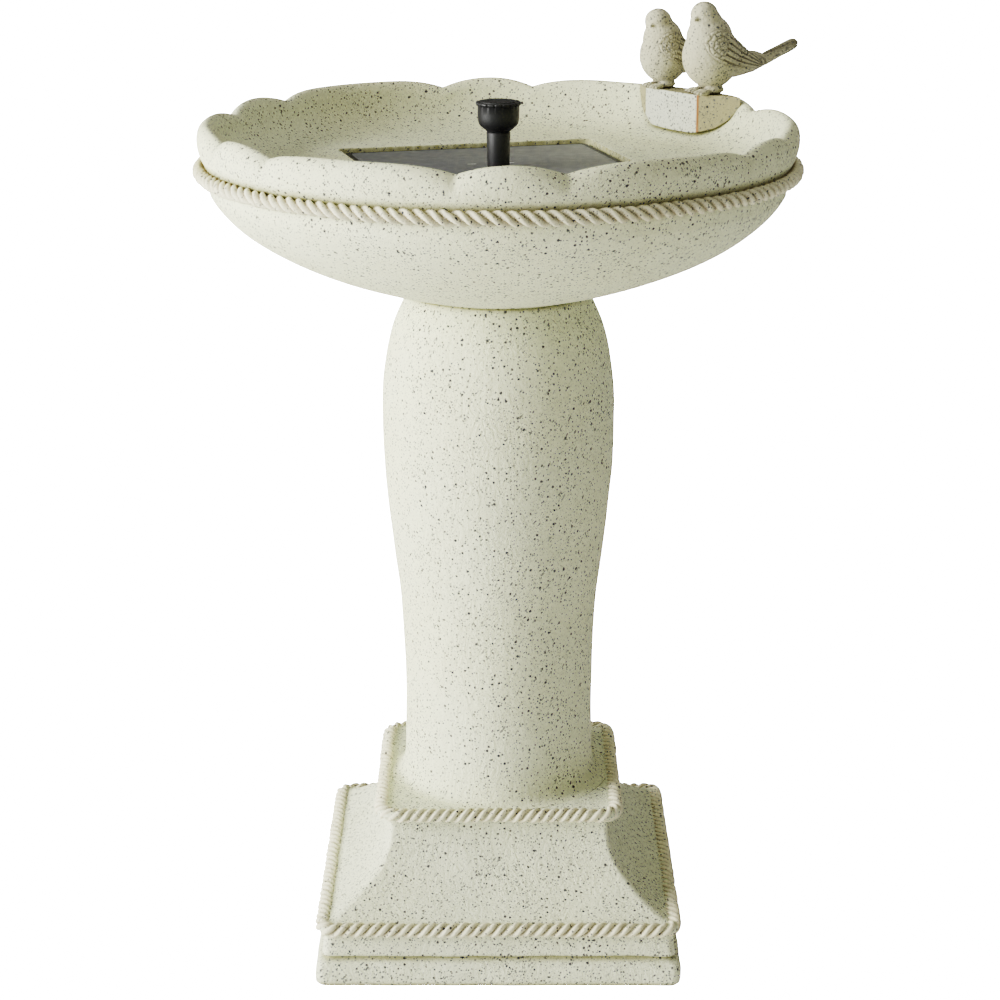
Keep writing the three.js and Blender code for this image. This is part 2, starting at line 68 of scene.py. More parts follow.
# ---------------------------------------------------------------- shader helpers
class Graph:
    """A material's node tree, built with short calls."""

    def __init__(self, name):
        self.material = bpy.data.materials.new(name)
        self.material.use_nodes = True
        self.nodes = self.material.node_tree.nodes
        self.links = self.material.node_tree.links
        self.shader = self.nodes["Principled BSDF"]
        self.place = self.nodes.new("ShaderNodeTexCoord").outputs["Object"]

    def node(self, kind, inputs=None, **settings):
        made = self.nodes.new(kind)
        for key, value in settings.items():
            setattr(made, key, value)
        for key, value in (inputs or {}).items():
            socket = made.inputs[key]
            if isinstance(value, bpy.types.NodeSocket):
                self.links.new(value, socket)
            else:
                socket.default_value = value
        return made

    def noise(self, scale, detail=3.0, roughness=0.55, vector=None, distortion=0.0):
        values = {"Vector": vector or self.place, "Scale": scale, "Detail": detail}
        values.update({"Roughness": roughness, "Distortion": distortion})
        return self.node("ShaderNodeTexNoise", values).outputs["Fac"]

    def stretch(self, scale, turn=(0, 0, 0)):
        turned = self.node("ShaderNodeMapping", {"Vector": self.place, "Rotation": turn})
        made = self.node("ShaderNodeMapping", {"Vector": turned.outputs["Vector"], "Scale": scale})
        return made.outputs["Vector"]

    def ramp(self, value, *stops):
        """A colour ramp through (position, grey or colour) stops."""
        made = self.node("ShaderNodeValToRGB", {"Fac": value})
        points = made.color_ramp.elements
        while len(points) < len(stops):
            points.new(0.5)
        for point, (position, colour) in zip(points, stops):
            point.position = position
            point.color = (colour,) * 3 + (1,) if isinstance(colour, (int, float)) else (*colour, 1)
        return made.outputs["Color"]

    def maths(self, kind, a, b=0.5):
        return self.node("ShaderNodeMath", {0: a, 1: b}, operation=kind).outputs[0]

    def mix(self, fac, a, b, blend="MIX"):
        made = self.nodes.new("ShaderNodeMix")
        made.data_type = "RGBA"
        made.blend_type = blend
        for index, value in ((0, fac), (6, a), (7, b)):
            if isinstance(value, bpy.types.NodeSocket):
                self.links.new(value, made.inputs[index])
            else:
                made.inputs[index].default_value = value if index == 0 else (*value, 1)
        return made.outputs[2]

    def dots(self, size, keep, where, least=0.08, spread=0.16, edge=0.25):
        """Grains in cells about size metres wide. keep is the share of cells that hold one."""
        cells = self.node("ShaderNodeTexVoronoi", {"Vector": where, "Scale": 1 / size})
        chance = self.node("ShaderNodeSeparateColor", {"Color": cells.outputs["Color"]})
        radius = self.maths("MULTIPLY", chance.outputs[1], spread)
        inside = self.maths("SUBTRACT", self.maths("ADD", radius, least), cells.outputs["Distance"])
        soft = self.node(
            "ShaderNodeMapRange",
            {"Value": inside, "From Min": -edge * 0.1, "From Max": edge * 0.2, "To Min": 0, "To Max": 1},
        ).outputs[0]
        kept = self.maths("LESS_THAN", chance.outputs[0], keep)
        return self.maths("MULTIPLY", soft, kept)

    def bump(self, height, strength, distance, normal=None):
        values = {"Height": height, "Strength": strength, "Distance": distance}
        if normal:
            values["Normal"] = normal
        return self.node("ShaderNodeBump", values).outputs["Normal"]

    def finish(self, colour, rough, normal=None):
        self.links.new(colour, self.shader.inputs["Base Color"])
        self.links.new(rough, self.shader.inputs["Roughness"])
        if normal:
            self.links.new(normal, self.shader.inputs["Normal"])
        return self.material


# ---------------------------------------------------------------- materials
def cast_stone(name, pale, warm, crease, grains=1.0, scratch=1.0, crease_reach=0.006, big=1.0,
               rope=False):
    """Cream cement with fine and coarse charcoal grains, and painted shade in the creases and carved lines;
    along the bowl's recess edge that colour is part painted shade, part real grime.

    grains and big scale the share of fine and of coarse grains, scratch the depth of the surface.
    """
    g = Graph(name)
    g.shader.inputs["Specular IOR Level"].default_value = 0.18
    cloud = g.ramp(g.noise(9, 4), (0.35, 0), (0.7, 1))
    ground = g.mix(cloud, pale, warm)
    mottle = g.ramp(g.noise(900, 2, 0.6), (0.35, 0.93), (0.65, 1.0))
    ground = g.mix(1.0, ground, mottle, "MULTIPLY")
    patch = g.ramp(g.noise(26, 3), (0.38, 0.25), (0.66, 1.0))
    # painted shade: ambient occlusion darkens creases and hollows towards the crease colour
    shade = g.node("ShaderNodeAmbientOcclusion", {"Distance": crease_reach}, samples=6).outputs["AO"]
    wear_and_shade = g.ramp(shade, (0.35 if rope else 0.3, 0), (0.92, 1))
    ground = g.mix(wear_and_shade, crease, ground)

    # painted shade in carved lines and creases, read from each piece's groove attribute; along the bowl's
    # recess edge it is partly real dirt
    groove_shade_and_dirt = g.node("ShaderNodeAttribute", attribute_name="groove").outputs["Fac"]
    ground = g.mix(groove_shade_and_dirt, ground, crease)

    wavy = g.node("ShaderNodeTexNoise", {"Vector": g.place, "Scale": 900}).outputs["Color"]
    bent = g.mix(0.0013, (0, 0, 0), wavy)
    where = g.node("ShaderNodeVectorMath", {0: g.place, 1: bent}, operation="ADD").outputs[0]
    slanted = g.stretch((1.0, 1.0, 0.36), (0.25, -0.6, 0.3))
    slanted = g.node("ShaderNodeVectorMath", {0: slanted, 1: bent}, operation="ADD").outputs[0]
    dust = g.maths("MULTIPLY", g.dots(0.0012, 0.85 * grains, where, 0.2, 0.25, 0.6), patch)
    grit = g.dots(0.0020, 0.66 * grains, where, 0.15, 0.22, 0.3)
    coarse = g.dots(0.0040, 0.55 * big, where, 0.12, 0.15, 0.15)
    flake = g.maths("MULTIPLY", g.dots(0.0024, 0.4 * grains, slanted, 0.14, 0.18, 0.3), patch)

    fine = g.mix(g.maths("MULTIPLY", dust, 0.62), ground, (0.12, 0.12, 0.085))
    fine = g.mix(g.maths("MULTIPLY", grit, 0.92), fine, (0.06, 0.066, 0.072))
    fine = g.mix(g.maths("MULTIPLY", flake, 0.9), fine, (0.04, 0.045, 0.055))
    colour = g.mix(g.maths("MULTIPLY", coarse, 0.96), fine, (0.018, 0.019, 0.023))

    rough = g.ramp(g.noise(220, 3), (0.3, 0.72), (0.7, 0.9))
    brushed = g.noise(150, 5, 0.62, g.stretch((1.0, 1.0, 0.5)), 1.6)
    pores = g.noise(700, 3, 0.6)
    normal = g.bump(g.ramp(brushed, (0.42, 0), (0.6, 1)), 0.30 * scratch, 0.0009)
    normal = g.bump(pores, 0.32, 0.0006, normal)
    normal = g.bump(grit, -0.2, 0.0003, normal)
    return g.finish(colour, rough, normal)


def dull_black(name, shade):
    """Moulded black plastic with a faint grain and dust."""
    g = Graph(name)
    g.shader.inputs["Specular IOR Level"].default_value = 0.3
    film = g.ramp(g.noise(70, 4), (0.35, 0), (0.75, 1))
    colour = g.mix(film, (shade, shade, shade * 1.04), (shade * 1.8, shade * 1.8, shade * 1.85))
    rough = g.ramp(g.noise(300, 3), (0.3, 0.42), (0.7, 0.58))
    return g.finish(colour, rough, g.bump(g.noise(1500, 2), 0.12, 0.0002))


def rough_material(name, dark, light, scale, low, high, metallic=0.0, depth=0.0002):
    """Any plain finish: two shades in a fine cloud, with a grain."""
    g = Graph(name)
    g.shader.inputs["Metallic"].default_value = metallic
    colour = g.mix(g.ramp(g.noise(scale, 3), (0.35, 0), (0.65, 1)), dark, light)
    rough = g.ramp(g.noise(scale * 1.7, 3), (0.3, low), (0.7, high))
    return g.finish(colour, rough, g.bump(g.noise(scale * 4, 2), 0.3, depth))


def panel_face(name):
    """Dark grey laminate over the cells, with faint grid lines and a satin surface."""
    g = Graph(name)
    g.shader.inputs["Specular IOR Level"].default_value = 0.35
    lines = g.node(
        "ShaderNodeTexWave",
        {"Vector": g.stretch((1, 1, 1), (0, 0, -math.radians(15))), "Scale": 130, "Distortion": 0.0},
        bands_direction="Y",
    ).outputs["Fac"]
    base = g.mix(g.ramp(g.noise(35, 4), (0.35, 0), (0.7, 1)), (0.086, 0.088, 0.104), (0.100, 0.102, 0.118))
    colour = g.mix(g.ramp(lines, (0.9, 0), (1.0, 0.3)), base, (0.075, 0.075, 0.082))
    rough = g.ramp(g.noise(160, 3), (0.3, 0.34), (0.7, 0.46))
    return g.finish(colour, rough, g.bump(g.noise(900, 2), 0.05, 0.0001))


def perch_stone(name, edge_point, pale, warm, grains):
    """The perch block's stone, with a rusty line down the front corner."""
    crease = (0.22, 0.20, 0.09)
    material = cast_stone(name, pale, warm, crease, grains, 0.5, 0.006, 0.4 * grains)
    nodes = material.node_tree.nodes
    links = material.node_tree.links
    shader = nodes["Principled BSDF"]
    before = shader.inputs["Base Color"].links[0].from_socket
    place = nodes.new("ShaderNodeTexCoord").outputs["Object"]
    split = nodes.new("ShaderNodeSeparateXYZ")
    links.new(place, split.inputs[0])
    flat = nodes.new("ShaderNodeCombineXYZ")
    links.new(split.outputs[0], flat.inputs[0])
    links.new(split.outputs[1], flat.inputs[1])
    gap = nodes.new("ShaderNodeVectorMath")
    gap.operation = "DISTANCE"
    gap.inputs[1].default_value = (edge_point[0], edge_point[1], 0)
    links.new(flat.outputs[0], gap.inputs[0])
    line = nodes.new("ShaderNodeMapRange")
    links.new(gap.outputs["Value"], line.inputs["Value"])
    line.inputs["From Min"].default_value = 0.0017
    line.inputs["From Max"].default_value = 0.0004
    blend = nodes.new("ShaderNodeMix")
    blend.data_type = "RGBA"
    links.new(line.outputs[0], blend.inputs[0])
    links.new(before, blend.inputs[6])
    blend.inputs[7].default_value = (0.27, 0.12, 0.03, 1)
    links.new(blend.outputs[2], shader.inputs["Base Color"])
    return material


CREAM = (0.80, 0.83, 0.54)
CREAM_WARM = (0.80, 0.81, 0.49)
# CREASE is the colour of the painted shade in creases and carved lines
CREASE = (0.25, 0.24, 0.07)
stone_pedestal = cast_stone("pedestal_stone_fine", CREAM, CREAM_WARM, CREASE, 1.1, 1.3)
stone_base = cast_stone("base_stone_fine", (0.77, 0.80, 0.55), (0.76, 0.78, 0.50), CREASE, 1.35, 1.3)
stone_bowl = cast_stone("bowl_stone_fine", CREAM, CREAM_WARM, CREASE, 1.0, 0.7)
# the third colour given to the rope and bird stones is their painted crease shade
stone_rope = cast_stone(
    "rope_stone_fine", (0.80, 0.78, 0.53), (0.77, 0.73, 0.45), (0.17, 0.12, 0.035), 0.5, 0.4, 0.0035,
    0.5, True
)
stone_bird = cast_stone(
    "bird_stone_fine", (0.57, 0.56, 0.38), (0.50, 0.47, 0.28), (0.09, 0.07, 0.03), 1.5, 1.0, 0.0025, 0.3
)
plastic = dull_black("black_plastic_fine", 0.0045)
plastic_inner = dull_black("inner_plastic_fine", 0.02)
rubber = rough_material("rubber_fine", (0.012, 0.012, 0.012), (0.03, 0.03, 0.03), 300, 0.7, 0.9)
foam = rough_material("foam_fine", (0.01, 0.01, 0.01), (0.045, 0.045, 0.04), 900, 0.9, 1.0, 0.0, 0.0006)
steel = rough_material("steel_fine", (0.42, 0.43, 0.44), (0.62, 0.63, 0.64), 400, 0.25, 0.4, 1.0, 0.0001)
silver = rough_material(
    "bus_silver_fine", (0.62, 0.62, 0.60), (0.8, 0.8, 0.78), 500, 0.3, 0.45, 0.6, 0.0001)
copper = rough_material("copper_fine", (0.30, 0.11, 0.03), (0.62, 0.27, 0.10), 500, 0.3, 0.45, 1.0, 0.0002)
board = rough_material("board_fine", (0.008, 0.09, 0.03), (0.02, 0.16, 0.06), 200, 0.35, 0.5, 0.0, 0.0001)
ceramic = rough_material(
    "ceramic_fine", (0.72, 0.72, 0.69), (0.86, 0.86, 0.83), 200, 0.12, 0.22, 0.0, 0.0001)
mortar = cast_stone("mortar_fine", (0.70, 0.69, 0.57), (0.66, 0.65, 0.5), CREASE, 0.8, 1.0)
panel_grey = panel_face("panel_face_fine")


# ---------------------------------------------------------------- mesh helpers
def add_piece(name, verts, faces, material, body, replaces=(), smooth=True, groove=None):
    """A mesh object in millimetres that rides on a body and stands for the CAD nodes it replaces.
    groove gives each vertex its share of painted shade in a carved line or crease; along the bowl's recess
    edge it also holds real grime."""
    mesh = bpy.data.meshes.new(name)
    mesh.from_pydata([(x * MM, y * MM, z * MM) for x, y, z in verts], [], faces)
    if groove:
        mesh.attributes.new("groove", "FLOAT", "POINT").data.foreach_set("value", groove)
    if smooth:
        mesh.polygons.foreach_set("use_smooth", [True] * len(mesh.polygons))
    mesh.materials.append(material)
    piece = bpy.data.objects.new(name, mesh)
    bpy.context.scene.collection.objects.link(piece)
    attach(piece, body)
    if replaces:
        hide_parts(*replaces)
    return piece


def ring_skin(rings, close_ends=True, closed_loop=False):
    """Vertices and faces over rings with equal counts; a ring may be a single point's worth of radius."""
    count = len(rings[0])
    verts = [p for ring in rings for p in ring]
    faces = []
    spans = len(rings) if closed_loop else len(rings) - 1
    for k in range(spans):
        low = k * count
        high = ((k + 1) % len(rings)) * count
        for i in range(count):
            j = (i + 1) % count
            faces.append((low + i, low + j, high + j, high + i))
    if close_ends and not closed_loop:
        faces.append(tuple(reversed(range(count))))
        faces.append(tuple(range((len(rings) - 1) * count, len(rings) * count)))
    return verts, faces


def smoothstep(x, low, high):
    t = min(max((x - low) / (high - low), 0.0), 1.0)
    return t * t * (3 - 2 * t)


def spline(points, steps):
    """Points of a Catmull-Rom curve through 2-D points, steps per span."""
    padded = [points[0]] + list(points) + [points[-1]]
    out = []
    for k in range(1, len(padded) - 2):
        p0, p1, p2, p3 = padded[k - 1:k + 3]
        for i in range(steps):
            t = i / steps
            out.append(tuple(
                0.5 * (2 * b + (c - a) * t + (2 * a - 5 * b + 4 * c - d) * t**2
                       + (3 * b - a - 3 * c + d) * t**3)
                for a, b, c, d in zip(p0, p1, p2, p3)
            ))
    out.append(tuple(points[-1]))
    return out


def hand_worn(point, amount, size):
    """A point moved a little by slow noise, as hand finishing leaves a casting."""
    shift = noise.noise_vector(Vector(point) / size)
    return tuple(c + amount * s for c, s in zip(point, shift))


def square_ring(half, z, corner, per_side=40, per_corner=10):
    """A rounded square's points, counterclockwise from the middle of no side in particular."""
    k = half - corner
    points = []
    for quarter in range(4):
        turn = quarter * math.pi / 2
        c, s = math.cos(turn), math.sin(turn)
        side = [(half, -k + 2 * k * i / per_side) for i in range(per_side)]
        bend = [
            (k + corner * math.cos(a), k + corner * math.sin(a))
            for a in (math.pi / 2 * i / per_corner for i in range(per_corner))
        ]
        points += [(x * c - y * s, x * s + y * c, z) for x, y in side + bend]
    return points


def rope(name, path, radius, pitch, body, slot_name, hand=1, around=20, per_lobe=9, wobble=0.16):
    """A three-strand rope moulding laid along a closed path of (point, outward, up) frames."""
    lengths = [0.0]
    for a, b in zip(path, path[1:] + path[:1]):
        lengths.append(lengths[-1] + (Vector(b[0]) - Vector(a[0])).length)
    total = lengths[-1]
    lobes = round(total / pitch / 3) * 3
    steps = lobes * per_lobe
    rng = random.Random(lobes)
    swell = [1 + rng.uniform(-0.05, 0.05) for _ in range(lobes)]
    rings = []
    groove = []
    seg = 0
    for n in range(steps):
        s = total * n / steps
        while lengths[seg + 1] < s:
            seg += 1
        t = (s - lengths[seg]) / (lengths[seg + 1] - lengths[seg])
        a, b = path[seg], path[(seg + 1) % len(path)]
        centre = Vector(a[0]).lerp(Vector(b[0]), t)
        out = Vector(a[1]).lerp(Vector(b[1]), t).normalized()
        up = Vector(a[2]).lerp(Vector(b[2]), t).normalized()
        wander = wobble * noise.noise(Vector((s / 9, hand * 3.1, radius)))
        phase = hand * TAU * (n / steps) * lobes / 3 + wander
        ring = []
        for i in range(around):
            angle = TAU * i / around
            strand = (angle - phase) % (TAU / 3) - TAU / 6
            offset = radius * 0.53
            thick = radius * 0.50
            reach = offset * math.cos(strand)
            reach += math.sqrt(max(thick**2 - (offset * math.sin(strand)) ** 2, 0.02))
            reach *= swell[int(n / per_lobe) % lobes]
            # painted shade in the grooves between the strands
            groove.append(0.85 * smoothstep(abs(strand) / (TAU / 6), 0.66, 0.98))
            ring.append(tuple(centre + out * reach * math.cos(angle) + up * reach * math.sin(angle)))
        rings.append(ring)
    verts, faces = ring_skin(rings, closed_loop=True)
    return add_piece(name, verts, faces, stone_rope, body, groove=groove)


# ---------------------------------------------------------------- base
def base_piece():
    flare = [(74 + 40 * t**2.5, 98 - 55.5 * t, 2.6 + 1.6 * t) for t in (1 - i / 26 for i in range(27))]
    low_bead = [
        (117.5 + 3.4 * math.cos(math.radians(a)), 40 + 3.4 * math.sin(math.radians(a)), 7)
        for a in range(-70, 121, 19)
    ]
    high_bead = [
        (79.5 + 3.4 * math.cos(math.radians(a)), 106 + 3.4 * math.sin(math.radians(a)), 12)
        for a in range(-100, 101, 20)
    ]
    profile = [
        (104, 0.0, 6), (FOOT_HALF - 4.5, 0.0, 6), (FOOT_HALF - 1.6, 0.5, 6), (FOOT_HALF - 0.4, 2.0, 6),
        (FOOT_HALF, 4.5, 6), (FOOT_HALF, 8, 6), (FOOT_HALF - 0.2, 12, 6), (FOOT_HALF - 0.8, 14.8, 6),
        (FOOT_HALF - 2.4, 16.8, 6), (FOOT_HALF - 5.2, 18.2, 5.5), (116.6, 19.2, 5), (116.8, 20.0, 5),
        (118.7, 21.0, 5), (118.9, 22.6, 5), (118.0, 25.5, 5), (117.4, 30, 5), (117.0, 35.5, 5),
    ] + low_bead + flare + high_bead + [(74, 107.8, 12), (68, 107.9, 14)]
    rings = [square_ring(h, z, c) for h, z, c in profile]
    for ring in rings:
        for i, p in enumerate(ring):
            wear_and_shade = 0.9 if p[2] < 37 else 0.5
            moved = hand_worn(p, wear_and_shade, 26)
            keep_z = p[2] if p[2] < 1 else moved[2]
            ring[i] = (moved[0], moved[1], max(keep_z, 0.0))
    # the deck runs in under the column
    count = len(rings[0])
    flat = rings[-1]
    for r, z in ((64, 108.0), (60, 108.0)):
        circle = []
        for i in range(count):
            a = math.atan2(flat[i][1], flat[i][0])
            circle.append((r * math.cos(a), r * math.sin(a), z))
        rings.append(circle)
    inner = [(104, 30, 7), (78, 52, 7), (61, 76, 7), (56, 94, 7), (36, 95, 20)]
    verts, faces = ring_skin(rings, close_ends=False)
    # painted shadow line along the step at about 19.4 mm height
    groove = [0.75 * smoothstep(abs(z - 19.4), 1.9, 0.4) for x, y, z in verts]
    start = len(verts)
    inside = [square_ring(h, z, c) for h, z, c in inner]
    for ring in inside:
        verts += ring
        groove += [0.0] * len(ring)
    for k in range(len(inside)):
        low = start + (k - 1) * count if k else 0
        high = start + k * count
        for i in range(count):
            j = (i + 1) % count
            faces.append((low + j, low + i, high + i, high + j))
    return add_piece("base_stone", verts, faces, stone_base, "pedestal", ["base_casting"],
                     groove=groove)


def square_path(half, corner, z):
    path = []
    for x, y, z in square_ring(half, z, corner, 30, 10):
        k = half - corner
        core = Vector((max(-k, min(k, x)), max(-k, min(k, y)), 0))
        out = Vector((x, y, 0)) - core
        out = out.normalized() if out.length > 1e-6 else Vector((x, y, 0)).normalized()
        point = hand_worn((x, y, z), 0.5, 26)
        path.append((point, tuple(out), (0, 0, 1)))
    return path


base_piece()
rope("base_rope_low", square_path(118.2, 8, 40), 4.9, 7.0, "pedestal", "pedestal_stone", hand=1)
rope("base_rope_high", square_path(79.8, 13, 106.2), 4.9, 6.5, "pedestal", "pedestal_stone", hand=1)


# ---------------------------------------------------------------- column
def turned(name, profile, material, body, slot_name, replaces=(), segments=96, centre=(0, 0), wear_and_shade=0.0,
           smooth=True):
    """A closed body of revolution from (radius, z) points that run up the outside and down the inside."""
    rings = []
    for r, z in profile:
        ring = []
        for i in range(segments):
            a = TAU * i / segments
            p = (centre[0] + r * math.cos(a), centre[1] + r * math.sin(a), z)
            ring.append(hand_worn(p, wear_and_shade, 30) if wear_and_shade else p)
        rings.append(ring)
    verts, faces = ring_skin(rings, closed_loop=True)
    piece = add_piece(name, verts, faces, material, body, replaces, smooth)
    return piece


COLUMN_OUTLINE = [
    (65.5, 0), (64.8, 55), (65.4, 90), (67.2, 125), (71, 160), (75, 195), (78, 232),
    (78.4, 266), (76, 294), (70.6, 319), (60.5, 342),
]
outer = [(r, COLUMN_FOOT + h) for r, h in spline(COLUMN_OUTLINE, 10)]
inner = [(r - 14.5, z) for r, z in outer[::12]][:-1]
column_profile = outer + [(46, outer[-1][1]), (44, outer[-1][1] - 2), (44, outer[-1][1] - 18)] + inner[::-1]
turned("column_stone", column_profile, stone_pedestal, "pedestal", "pedestal_stone", ["column_casting"],
       segments=160, wear_and_shade=0.5)

foot_fillet = spline(
    [(77, 107.9), (74.5, 108.15), (71.4, 109.0), (68.8, 111.2), (67.0, 114.6), (66.0, 119), (65.2, 124)], 4)
turned("column_mortar", [(63, 107.6)] + foot_fillet + [(63, 124)], stone_pedestal, "pedestal", "mortar",
       ["column_mortar_fillet"], 160, wear_and_shade=0.5)


# ---------------------------------------------------------------- bowl
PERIOD = TAU / 6
NARROW = PERIOD / 3
FIRST_LOBE = math.radians(-87.6)
PANEL_TURN = math.radians(15)
FLOOR = 536.0


def notch(angle):
    """0 along a lobe's crest, 1 at the bottom of the notch between two lobes."""
    within = (angle - FIRST_LOBE + NARROW / 2) % PERIOD
    narrow = within < NARROW
    width = NARROW if narrow else PERIOD - NARROW
    across = within if narrow else within - NARROW
    return abs(2 * across / width - 1) ** (2.1 if narrow else 3.8)


def under_z(r):
    return 445 + 85 * (1 - (1 - (r / 192) ** 1.7) ** (1 / 1.7))


def square_reach(angle, half, corner):
    """Distance from the centre to a rounded square's edge, at an angle from the panel's own axis."""
    c, s = abs(math.cos(angle)), abs(math.sin(angle))
    if c < s:
        c, s = s, c
    plain = half / c
    k = half - corner
    if plain * s <= k:
        return plain
    dot = k * (c + s)
    return dot + math.sqrt(max(dot * dot - 2 * k * k + corner * corner, 0))


def bowl_piece():
    count = 720
    angles = [TAU * i / count for i in range(count)]
    outside = [(0.5, BOWL_BOTTOM - 15), (39.5, BOWL_BOTTOM - 15), (41, BOWL_BOTTOM - 13), (41, BOWL_BOTTOM)]
    outside += [(61, BOWL_BOTTOM), (62.2, under_z(64) - 0.6)]
    outside += [(r, under_z(r)) for r in (64 + 125 * math.sin(math.pi / 2 * i / 30) for i in range(31))]
    rim = spline(
        [(190.2, 529), (191.6, 535), (192.6, 540), (195, 545), (196.6, 551), (196.8, 557), (195.4, 561.8),
         (191.6, 564.9), (187.6, 564.2), (184.6, 560.2), (182.4, 555), (179.2, 549.3), (173.6, 543.3),
         (165.5, 539.3), (156, 537.2), (144, 536.1), (131, FLOOR)], 6)
    rings = []
    for r, z in outside + rim:
        ring = []
        rise = smoothstep(z, 541, 564) if r > 160 else 0
        for a in angles:
            depth = notch(a) * rise
            crown = 0.5 * noise.noise(Vector((math.cos(a) * 3, math.sin(a) * 3, 5))) * rise
            rr = r - depth * 3.4
            zz = z - depth * 6.0 + crown + BACK_RISE * rise * smoothstep(math.sin(a), 0.05, 0.9)
            p = (rr * math.cos(a), rr * math.sin(a), zz)
            ring.append(hand_worn(p, 0.45, 40) if z > 460 and r > 70 else p)
        rings.append(ring)
    # the floor runs from a circle into the square recess, which steps down to the round reservoir
    for share, z in ((0.35, FLOOR), (0.7, FLOOR), (0.93, FLOOR - 0.05)):
        rings.append([
            ((128 * (1 - share) + share * square_reach(a - PANEL_TURN, 88.9, 4)) * math.cos(a),
             (128 * (1 - share) + share * square_reach(a - PANEL_TURN, 88.9, 4)) * math.sin(a), z)
            for a in angles
        ])
    for half, z in ((89.4, FLOOR - 0.05), (88.8, FLOOR - 0.3), (88.5, FLOOR - 1.1), (88.4, 526),
                    (88.4, 518)):
        ring = []
        for a in angles:
            jag = 0.35 * noise.noise(Vector((math.cos(a) * 22, math.sin(a) * 22, 1))) if z > 530 else 0
            reach = square_reach(a - PANEL_TURN, half + jag, 4)
            ring.append((reach * math.cos(a), reach * math.sin(a), z))
        rings.append(ring)
    for r, z in ((84, 517.5), (84, 492), (66, 464), (0.5, 464)):
        rings.append([(r * math.cos(a), r * math.sin(a), z) for a in angles])
    # painted shade on the recess wall below the floor's edge, mixed with blotchy real dirt
    groove = []
    for ring in rings:
        for x, y, z in ring:
            edge = z < FLOOR - 0.2 and math.hypot(x, y) < 126 and z > 530
            speck = 0.5 + 0.8 * noise.noise(Vector((x, y, 0)) / 4)
            groove.append(min(max(0.45 + 0.5 * speck, 0), 1) if edge else 0.0)
    verts, faces = ring_skin(rings)
    return add_piece("bowl_stone_body", verts, faces, stone_bowl, "bowl", ["bowl_casting"],
                     groove=groove)


bowl_piece()
ring_path = []
for n in range(360):
    a = TAU * n / 360
    point = hand_worn((195.0 * math.cos(a), 195.0 * math.sin(a), 534.9), 0.5, 40)
    ring_path.append((point, (math.cos(a), math.sin(a), 0), (0, 0, 1)))
rope("bowl_rope", ring_path, 5.0, 8.0, "bowl", "bowl_stone", hand=-1)


# ---------------------------------------------------------------- perch block
WALL = [(0, 536), (146, 536.2), (156, 537.4), (165.5, 539.5), (173.6, 543.6), (179.2, 549.6),
        (182.4, 555.2), (184.6, 560.4), (187.6, 564.4), (191.6, 565.2), (230, 565.2)]


def wall_height(r):
    for (r0, z0), (r1, z1) in zip(WALL, WALL[1:]):
        if r <= r1:
            return z0 + (z1 - z0) * (r - r0) / (r1 - r0)
    return WALL[-1][1]


def polar(degrees, radius):
    a = math.radians(degrees)
    return Vector((radius * math.cos(a), radius * math.sin(a)))


def perch_piece():
    front_right, front_left = polar(34.3, 166), polar(52.2, 169.6)
    back_right, back_left = polar(26.3, 184.5), polar(57, 185.5)
    across, deep = 44, 22
    grid = []
    for j in range(deep + 1):
        row = []
        v = j / deep
        for i in range(across + 1):
            u = i / across
            front = front_right.lerp(front_left, u)
            back = back_right.lerp(back_left, u)
            spread = back.normalized() * (185 + 3.4 * math.sin(math.pi * u))
            back = back.lerp(spread, 0.85)
            row.append(front.lerp(back, v))
        grid.append(row)
    tops, lows = [], []
    for j, row in enumerate(grid):
        for i, p in enumerate(row):
            u = i / across
            r = p.length
            lift = 6.0 * smoothstep(abs(2 * u - 1), 0.72, 1.05) * (1 if u > 0.5 else 0.15)
            bottom = wall_height(r) + 1.9 + lift * (1 - j / deep)
            sag = 0.5 * noise.noise(Vector((p.x / 12, p.y / 12, 3)))
            tops.append((p.x, p.y, PERCH_TOP - 0.5 + sag * 0.5))
            lows.append((p.x, p.y, min(bottom, PERCH_TOP - 1.4)))
    width = across + 1
    count = len(tops)
    verts = tops + lows
    faces = []
    for j in range(deep):
        for i in range(across):
            a = j * width + i
            faces.append((a + 1, a, a + width, a + width + 1))
            faces.append((count + a, count + a + 1, count + a + width + 1, count + a + width))
    edge = list(range(width))
    edge += [j * width + across for j in range(1, deep + 1)]
    edge += [deep * width + i for i in range(across - 1, -1, -1)]
    edge += [j * width for j in range(deep - 1, 0, -1)]
    layers = 7
    last = edge
    for k in range(1, layers + 1):
        if k < layers:
            ring = []
            for e in edge:
                top, low = tops[e], lows[e]
                t = k / layers
                ring.append(len(verts))
                verts.append((top[0], top[1], top[2] + (low[2] - top[2]) * t))
        else:
            ring = [e + count for e in edge]
        for i in range(len(edge)):
            j = (i + 1) % len(edge)
            faces.append((last[i], last[j], ring[j], ring[i]))
        last = ring
    edge_at = (front_right.x * MM, front_right.y * MM)
    # the sides and top get a much darker colour than the front face: partly painted shade, partly the real
    # block's paler cut front
    sides = perch_stone("perch_side_fine", edge_at, (0.34, 0.32, 0.16), (0.30, 0.27, 0.12), 1.2)
    front = perch_stone("perch_front_fine", edge_at, (0.64, 0.66, 0.52), (0.62, 0.63, 0.47), 1.2)
    piece = add_piece(
        "perch_stone_block", verts, faces, sides, "bowl", ["perch_block"], False)
    piece.data.materials.append(front)
    facing = front_left - front_right
    facing = Vector((-facing.y, facing.x, 0)).normalized()
    for polygon in piece.data.polygons:
        polygon.material_index = 1 if polygon.normal.dot(facing) > 0.9 else 0
    bevel = piece.modifiers.new("soft edges", "BEVEL")
    bevel.width = 0.0009
    bevel.segments = 3
    bevel.limit_method = "ANGLE"
    bevel.angle_limit = math.radians(38)
    return piece


perch_piece()


